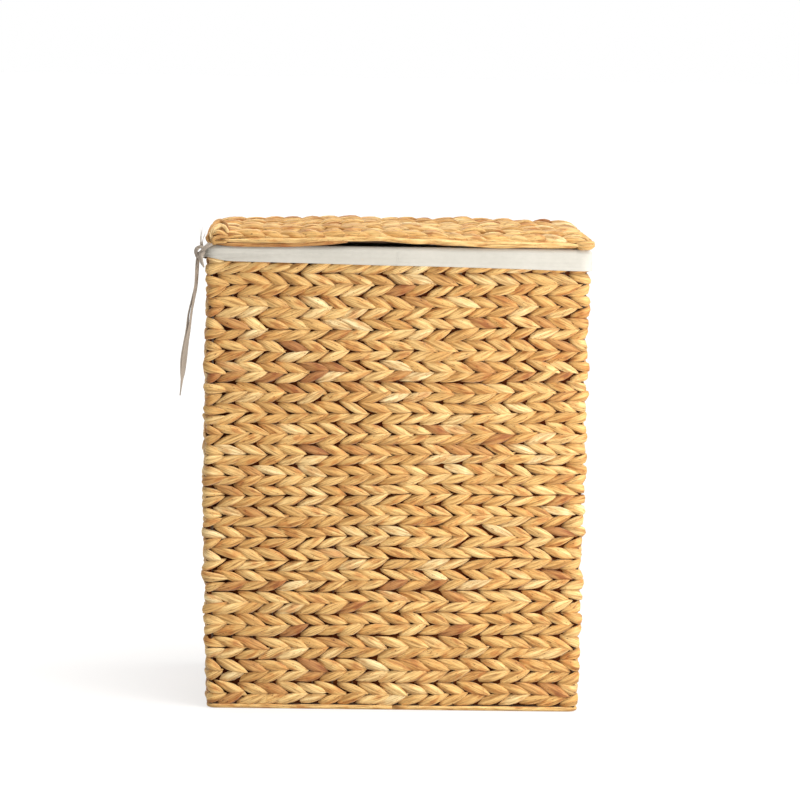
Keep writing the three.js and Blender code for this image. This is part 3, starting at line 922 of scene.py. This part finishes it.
def lid_rise(x, y):
    """How far the edges are lifted here: the front bows up, and the back is crowned."""
    back = min(1.0, max(0.0, (y - crown_from) / (crown_to - crown_from)))
    rear = min(1.0, max(0.0, (y - press_from) / (press_to - press_from)))
    return (crown * (1 - (x / crown_half) ** 2) * back * (1 - rear)
            + bow * math.exp(-((x + bow_left) / bow_wide) ** 2) * (1 - back))


lid_facts = dict(Columns=18, Column_pitch=0.0236, Rows=lid_rows, Row_height=0.01222,
                 Place=(0.0, 0.0, lid_middle), Crown=crown, Bow=bow)
core = ridged_core("lid_core", 0.436, -0.156, 0.154, 0.0008, 0.0001, lid_rows)
top = weave("lid_top_strokes", core, Lowest_row=-0.1605, Reach=0.0032, Lift=0.0028,
            Turn=(-math.pi / 2, 0.0, 0.0), Wander=0.012, Hump=hump, Puff=1.45, Fill=1.16,
            Press=0.55, First_falls=1.0, Seed=4001, **lid_facts)
ride_lid(top, "lid_weave")
core = ridged_core("lid_under_core", 0.436, -0.154, 0.156, 0.0026, 0.0004, lid_rows)
under = weave("lid_under_strokes", core, Lowest_row=-0.1585, Reach=0.0024, Lift=0.0003,
              Turn=(math.pi / 2, 0.0, 0.0), Wander=0.003, Seed=4100, **lid_facts)
ride_lid(under)

# %% [markdown]
# ## The lid's edges
# A long smooth strand binds the front and the back. Along the sides each row turns round
# the wire and goes back, so those edges look like a row of fat curls.

# %% Front and back binding
lid_front, lid_back = Bundle(), Bundle()
edge_random = random.Random(12)


def binding(bundle, x0, x1, y, z, deep, high, tone, seed, count=34, wander=0.0009):
    path, rings, sides = [], [], []
    for i in range(count + 1):
        x = x0 + (x1 - x0) * i / count
        sway = noise.noise(Vector((x * 14, seed, 0.5)))
        swell = noise.noise(Vector((x * 30, seed, 9.5)))
        end = min(1.0, 0.35 + 6 * min(i, count - i) / count)
        path.append((x, y + wander * sway, z + 1.4 * wander * swell + lid_rise(x, y)))
        rings.append(oval(deep * end * (1 + 0.12 * swell), high * end * (1 + 0.10 * sway), 12,
                          [0.07 * math.sin(3.1 * k + seed) for k in range(12)], 0.9))
        sides.append((0, -1 if y < 0 else 1, 0))
    bundle.sweep(path, rings, tone, sides)


binding(lid_front, -0.2160, 0.2230, -0.1608, 0.5560, 0.0042, 0.0033, 0.80, 1, 60, 0.0015)
binding(lid_front, -0.2130, -0.0600, -0.1622, 0.5519, 0.0026, 0.0024, 0.04, 2, 16, 0.0012)
binding(lid_front, 0.0300, 0.2180, -0.1575, 0.5536, 0.0038, 0.0018, 0.60, 3)
binding(lid_front, -0.2100, 0.2150, -0.1570, 0.5596, 0.0036, 0.0022, 0.70, 4, wander=0.001)
front_edge = lid_front.build("lid_front_binding", strand_straw)
ride_lid(front_edge, "lid_border_front")
for x0, x1, tone, seed in ((-0.2160, -0.1175, 0.55, 5), (-0.1025, 0.1025, 0.75, 6),
                           (0.1175, 0.2180, 0.62, 7)):
    binding(lid_back, x0, x1, 0.1545, 0.5560, 0.0042, 0.0034, tone, seed, 16)
    binding(lid_back, x0, x1, 0.1530, 0.5600, 0.0040, 0.0028, tone - 0.3, seed + 8, 16)
back_edge = lid_back.build("lid_back_binding", strand_straw)
ride_lid(back_edge, "lid_border_back")

# %% [markdown]
# Each side curl is a strand that comes up round the edge wire and dives back in. The ones
# by the hinge are flatter, because the rim presses on them when the lid is open.

# %% Side curls
def side_curls(bundle, side, count=25):
    for k in range(count):
        y = -0.1560 + 0.3120 * k / (count - 1) + edge_random.uniform(-0.0012, 0.0012)
        x = side * (0.2178 + edge_random.uniform(-0.0018, 0.0018))
        across, tall = 0.0062, 0.0050 * edge_random.uniform(0.80, 1.25)
        flat = 0.55 if y > 0.135 else 1.0
        lean, low = edge_random.uniform(0.003, 0.0065), lid_middle + lid_rise(x, y)
        path, rings, sides = [], [], []
        for i in range(15):
            turn = math.radians(-128 + 256 * i / 14)
            path.append((x + side * (across * math.cos(turn) - 0.0015 * abs(turn)),
                         y + lean * math.sin(turn),
                         low + flat * (tall * math.sin(turn) + 0.0006)))
            end = 0.35 + 0.65 * math.sin(math.pi * (i + 0.8) / 15.6)
            rings.append(oval(0.0062 * end, 0.0026 * flat * end, 10,
                              [0.10 * math.sin(4 * q + k) for q in range(10)]))
            sides.append((0, 1, 0))
        bundle.sweep(path, rings, edge_random.uniform(0.15, 0.9), sides)


for word, side in (("left", -1), ("right", 1)):
    curls = Bundle()
    side_curls(curls, side)
    edge = curls.build("lid_" + word + "_curls", strand_straw)
    ride_lid(edge, "lid_border_" + word)

# %% [markdown]
# The front corners are the hardest place to finish. At the left the ends curl over and
# under into an untidy roll, and at the right a few ends are tucked into a small knob.

# %% Corner roll and knob
ends = Bundle()


def curl(points, wide, high, tone):
    path = smooth_path(points, 4)
    last = len(path) - 1
    rings = []
    for i in range(last + 1):
        end = 0.45 + 0.55 * math.sin(math.pi * (0.08 + 0.84 * i / last))
        rings.append(oval(wide * end, high * end, 10,
                          [0.08 * math.sin(3 * k + 40 * tone) for k in range(10)]))
    ends.sweep(path, rings, tone, facing(path, (0, -1, 0)))


curl([(-0.2010, -0.1500, 0.5690), (-0.2037, -0.1400, 0.5742), (-0.2095, -0.1320, 0.5765),
      (-0.2160, -0.1380, 0.5738), (-0.2205, -0.1480, 0.5690), (-0.2228, -0.1560, 0.5620),
      (-0.2213, -0.1600, 0.5550)], 0.0030, 0.0022, 0.06)
curl([(-0.2005, -0.1580, 0.5640), (-0.2040, -0.1530, 0.5695), (-0.2097, -0.1500, 0.5722),
      (-0.2155, -0.1540, 0.5700), (-0.2190, -0.1600, 0.5640), (-0.2188, -0.1630, 0.5572)],
     0.0034, 0.0024, 0.93)
curl([(-0.2180, -0.1625, 0.5630), (-0.2135, -0.1640, 0.5662), (-0.2080, -0.1630, 0.5652),
      (-0.2010, -0.1600, 0.5612)], 0.0028, 0.0022, 0.75)
curl([(-0.1990, -0.1640, 0.5590), (-0.2080, -0.1662, 0.5606), (-0.2155, -0.1665, 0.5592),
      (-0.2182, -0.1660, 0.5562), (-0.2140, -0.1655, 0.5544), (-0.2020, -0.1640, 0.5546)],
     0.0022, 0.0020, 0.30)
curl([(-0.2225, -0.1590, 0.5650), (-0.2212, -0.1635, 0.5610), (-0.2200, -0.1645, 0.5570),
      (-0.2185, -0.1640, 0.5535)], 0.0014, 0.0012, 0.97)
for k in range(5):
    turn = k * math.tau / 5
    a, b = 0.0022 * math.cos(turn), 0.0022 * math.sin(turn)
    path = smooth_path([(0.2085, -0.1600 + 0.3 * b, 0.5568 + 0.4 * a),
                        (0.2165, -0.1625 + b, 0.5560 + 1.3 * a),
                        (0.2235, -0.1628 + b, 0.5562 + 1.5 * a),
                        (0.2290, -0.1620 + 0.3 * b, 0.5578 + 0.8 * a)], 4)
    last = len(path) - 1
    swells = [0.4 + math.sin(math.pi * (0.15 + 0.7 * i / last)) for i in range(last + 1)]
    ends.sweep(path, [oval(0.0020 * fat, 0.0015 * fat, 8) for fat in swells], 0.35 + 0.1 * k)
lid_ends = ends.build("lid_corner_ends", strand_straw)
ride_lid(lid_ends)

# %% [markdown]
# ## Cotton liner
# The bag is one loose sheet: up the inside of the walls, over the rim, and down the outside
# as a cuff. A loft of rounded rectangles gives it that shape, with the count of points kept
# the same at every level. The cuff's hem is pulled lower at the right, lifts at the left
# front corner, and carries a few soft lying folds.

# %% Bag
cloth_thick = 0.0009
corner_x, corner_y = -0.226, -0.160  # where the cuff gathers, at the front left


def give_thickness(piece):
    made = piece.modifiers.new("cloth thickness", "SOLIDIFY")
    made.thickness, made.offset = cloth_thick, 0.0


def corner_nearness(p, reach):
    return math.exp(-(((p.x - corner_x) ** 2 + (p.y - corner_y) ** 2) / reach ** 2))


def bag_outline(inset, count, radius):
    """Evenly spaced spots round the bag: place, outward direction and distance so far."""
    line = ring_path(rim_half_wide - inset, rim_half_deep - inset, radius, 0.0, 8, 0.004)
    total, runs = 0.0, [0.0]
    for a, b in zip(line, line[1:]):
        total += (b - a).length
        runs.append(total)
    spots, i = [], 0
    for k in range(count):
        want = total * k / count
        while i < len(runs) - 2 and runs[i + 1] < want:
            i += 1
        part = (want - runs[i]) / max(1e-9, runs[i + 1] - runs[i])
        p = line[i].lerp(line[i + 1], part)
        normal = (line[i + 1] - line[i]).normalized().cross(Vector((0, 0, 1)))
        spots.append((p, normal, want))
    return spots


def hem_height(p):
    return (0.5292 - 0.0135 * p.x + 0.0045 * corner_nearness(p, 0.016)
            + 0.0007 * noise.noise(Vector((p.x * 9, p.y * 9, 3.0))))


def lying_fold(p, high, start, slope, deep, end):
    """Cloth above a slanting line stands a little prouder, so the line reads as a fold."""
    if p.y > 0:
        return 0.0
    step = 1 / (1 + math.exp(-(high - start - slope * (p.x + 0.20)) / 0.0003))
    return deep * step * math.exp(-(high - start) / 0.006) / (1 + math.exp((p.x - end) / 0.012))


def liner_bag():
    count, levels = 360, []
    for k in range(15):
        levels.append((0.0136, 0.0150 + 0.528 * k / 14, "in"))
    levels += [(0.0128, 0.5478, "in"), (0.0112, 0.5498, "rim"), (0.0080, 0.5507, "rim"),
               (0.0040, 0.5508, "rim"), (0.0008, 0.5502, "rim"), (-0.0012, 0.5485, "rim")]
    levels += [(-0.0022, 1.0 - k / 22, "out") for k in range(23)]
    points, marks, run_up = [], [], 0.0
    for inset, z, part in levels:
        for p, normal, around in bag_outline(inset, count, max(0.003, 0.0100 - inset)):
            high, push = z, 0.0
            if part == "in":
                share = math.sin(math.pi * min(1.0, max(0.0, (z - 0.015) / 0.53)))
                slow = abs(noise.noise(Vector((around * 7 + z, z * 3, 1.0))))
                quick = abs(noise.noise(Vector((around * 22, z * 8, 2.0))))
                push = -share * (0.0075 * slow + 0.0016 * quick)
            if part == "out":
                hem = hem_height(p)
                high = hem + (0.5465 - hem) * z
                push = (0.0005 * noise.noise(Vector((around * 5, high * 260, 4.0)))
                        + 0.0004 * (z < 0.15)
                        + 0.0012 * noise.noise(Vector((around * 7, 0.0, 5.0)))
                        + lying_fold(p, high, 0.5366, 0.078, 0.0016, -0.085)
                        + lying_fold(p, high, 0.5408, 0.030, 0.0010, -0.140))
                gathers = 0.0013 * (0.4 + z) + 0.0005 * math.sin(high * 2600 + p.x * 700)
                push += corner_nearness(p, 0.012) * gathers
            if part == "rim":
                high += 0.0003 * noise.noise(Vector((around * 16, 0.0, 6.0)))
            points.append((p.x + normal.x * push, p.y + normal.y * push, high))
            marks.append((around, run_up + (1 - z) * 0.02 if part == "out" else z))
        run_up = 0.56
    faces = [(r * count + k, r * count + (k + 1) % count,
              (r + 1) * count + (k + 1) % count, (r + 1) * count + k)
             for r in range(len(levels) - 1) for k in range(count)]
    mesh = bpy.data.meshes.new("liner_bag")
    mesh.from_pydata(points, [], faces)
    uv = mesh.uv_layers.new(name="UVMap")
    for polygon, face in zip(mesh.polygons, faces):
        for loop, vertex in zip(polygon.loop_indices, face):
            u, v = marks[vertex]
            if u == 0 and max(marks[q][0] for q in face) > 1.0:
                u = 1.5
            uv.data[loop].uv = (u, v)
    mesh.materials.append(liner_cotton)
    return add_mesh("liner_bag", mesh)


bag = liner_bag()
give_thickness(bag)
sides = ("front", "back", "left", "right")
ride_root(bag, *["liner_" + s for s in sides], *["liner_cuff_" + s for s in sides],
          slot="liner_cotton")

# %% [markdown]
# The bag's floor is a separate panel sewn in. It lies on the woven base and puckers a
# little, so a fine grid with a slow noise is enough.

# %% Bag bottom
def cloth_panel(name, wide, deep, z, material, across=56, along=38):
    mesh = bpy.data.meshes.new(name)
    points, faces = [], []
    for j in range(along + 1):
        for i in range(across + 1):
            x, y = wide * (i / across - 0.5), deep * (j / along - 0.5)
            pucker = noise.noise(Vector((x * 16, y * 16, 8.0)))
            points.append((x, y, z + 0.0007 * abs(pucker)))
    for j in range(along):
        for i in range(across):
            a = j * (across + 1) + i
            faces.append((a, a + 1, a + across + 2, a + across + 1))
    mesh.from_pydata(points, [], faces)
    uv = mesh.uv_layers.new(name="UVMap")
    for polygon in mesh.polygons:
        for loop, vertex in zip(polygon.loop_indices, polygon.vertices):
            uv.data[loop].uv = points[vertex][:2]
    mesh.materials.append(material)
    return add_mesh(name, mesh)


panel = cloth_panel("liner_bottom", 0.4135, 0.2868, 0.0138, liner_cotton)
give_thickness(panel)
ride_root(panel, "liner_floor", slot="liner_cotton")

# %% [markdown]
# ## Hinge loops
# Two cord loops hold the lid to the back wall. Each is one cord wound round the lid's rear
# wire and the wall's top wire, so the turns lie side by side. A helix that follows a
# stadium outline makes it in one sweep.

# %% Cord loops
hinge_y = 0.1540


def cord_loop(name, node, turns=5, cord=0.00072):
    low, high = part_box(node)
    middle, wide = (low[0] + high[0]) / 2, high[0] - low[0]
    radius = (high[1] - low[1]) / 2 - cord
    top, foot = high[2] - radius - cord, low[2] + radius + cord
    path, sides, steps = [], [], 28
    for i in range(turns * steps + 1):
        t = i / steps
        share = t % 1.0
        x = middle - wide / 2 + cord + (wide - 2 * cord) * t / turns
        if share < 0.25:
            turn = math.pi * share / 0.25
            place = (hinge_y + radius * math.cos(turn), top + radius * math.sin(turn))
        elif share < 0.5:
            place = (hinge_y - radius, top + (foot - top) * (share - 0.25) / 0.25)
        elif share < 0.75:
            turn = math.pi * (1 + (share - 0.5) / 0.25)
            place = (hinge_y + radius * math.cos(turn), foot + radius * math.sin(turn))
        else:
            place = (hinge_y + radius, foot + (top - foot) * (share - 0.75) / 0.25)
        path.append((x, *place))
        sides.append((1, 0, 0))
    winding = Bundle()
    winding.sweep(path, [oval(cord, cord, 8)] * len(path), 0.5, sides, unit=1.0)
    made = winding.build(name, loop_cotton)
    ride_root(made, node, slot="loop_cord")


for word in ("left", "right"):
    cord_loop("cord_loop_" + word, "hinge_loop_" + word)

# %% [markdown]
# ## Loose fibres
# Dried straw sheds. A few pale hairs stand off the strokes, most of them on the front.

# %% Hairs
hairs = Bundle()
hair_random = random.Random(21)
for k in range(64):
    wall = k % 4 if k > 26 else 0
    half_wide, reach = ((0.205, 0.1600) if wall in (0, 2) else (0.140, 0.2250))
    a, z = hair_random.uniform(-half_wide, half_wide), hair_random.uniform(0.02, 0.51)
    share = foot_share + (1 - foot_share) * z / weave_top
    turn = math.radians(90 * wall)
    lean, long = hair_random.uniform(-0.9, 0.9), hair_random.uniform(0.003, 0.008)
    line = [(a, -reach + 0.0015, z), (a + 0.3 * long * lean, -reach - 0.0008, z + 0.4 * long),
            (a + long * lean, -reach - 0.0012, z + long * hair_random.uniform(-0.6, 0.9))]
    line = [(share * (x * math.cos(turn) - y * math.sin(turn)),
             share * (x * math.sin(turn) + y * math.cos(turn)), h) for x, y, h in line]
    path = smooth_path(line, 3)
    hairs.sweep(path, [oval(0.00032 * (1.1 - i / len(path)), 0.00022, 4)
                       for i in range(len(path))], 1.0)
loose = hairs.build("loose_fibres", strand_straw)
ride_root(loose)

# %% [markdown]
# ## Parts kept from the measured model
# The wires, posts, base grid and lid frame already have their true shape, so they only get
# paint. The rim wraps lie under the cuff and get straw.

# %% Kept parts
for name, part in nodes.items():
    if part.hide_render:
        continue
    coat = wrap_straw if name.startswith("rim_wrap") else painted_wire
    if not part.material_slots:
        part.data.materials.append(coat)
    for place in part.material_slots:
        place.material = coat
    print("kept", name)
for collection in (flat_strokes, corner_strokes):  # the shapes have been used up
    for shape in list(collection.objects):
        bpy.data.objects.remove(shape)
    bpy.data.collections.remove(collection)

# %% [markdown]
# ## Studio
# A pale floor and an even white sky make a bright surround. A broad sun from the front
# right shapes the strokes and leaves a faint shadow at the left, and a soft box close to
# the right makes the light fall off towards the left. A weak sun behind keeps the back
# wall readable.

# %% Floor, sky and light
floor_mesh = bpy.data.meshes.new("floor")
floor_mesh.from_pydata([(-40, -40, 0), (40, -40, 0), (40, 60, 0), (-40, 60, 0)], [],
                       [(0, 1, 2, 3)])
floor = bpy.data.objects.new("floor", floor_mesh)
bpy.context.collection.objects.link(floor)
pale, tree, shader = finish("pale floor", Base_Color=(0.27, 0.26, 0.25, 1), Roughness=0.9,
                             Emission_Color=(1, 1, 1, 1))
looked_at = put(tree, "ShaderNodeLightPath").outputs["Is Camera Ray"]
glow = put(tree, "ShaderNodeMapRange", [looked_at, 0.0, 1.0, 0.40, 0.67]).outputs[0]
tree.links.new(glow, shader.inputs["Emission Strength"])
floor_mesh.materials.append(pale)

world = bpy.data.worlds.new("white sky")
bpy.context.scene.world = world
world.use_nodes = True
sky = world.node_tree
ground = sky.nodes["Background"]
ground.inputs[0].default_value = (1, 1, 1, 1)
seen = put(sky, "ShaderNodeLightPath").outputs["Is Camera Ray"]
strength = put(sky, "ShaderNodeMapRange", [seen, 0.0, 1.0, 0.50, 1.0]).outputs[0]
sky.links.new(strength, ground.inputs[1])


def sun(name, strength, spread, direction):
    made = bpy.data.objects.new(name, bpy.data.lights.new(name, "SUN"))
    made.data.energy, made.data.angle = strength, math.radians(spread)
    made.rotation_euler = Vector(direction).to_track_quat("Z", "Y").to_euler()
    bpy.context.collection.objects.link(made)


sun("key light", 2.7, 40, (0.60, -0.30, 1.95))
sun("back light", 0.8, 60, (-0.5, 1.5, 1.0))
fill = bpy.data.objects.new("soft box", bpy.data.lights.new("soft box", "AREA"))
fill.data.energy, fill.data.size = 11.5, 0.5
fill.matrix_world = (Matrix.Translation((0.85, -0.95, 0.45))
                     @ Vector((0.85, -0.95, 0.15)).to_track_quat("Z", "Y").to_matrix().to_4x4())
fill.visible_camera = False
bpy.context.collection.objects.link(fill)
bpy.context.scene.view_settings.view_transform = "Standard"
print("floor, sky, sun and soft box")
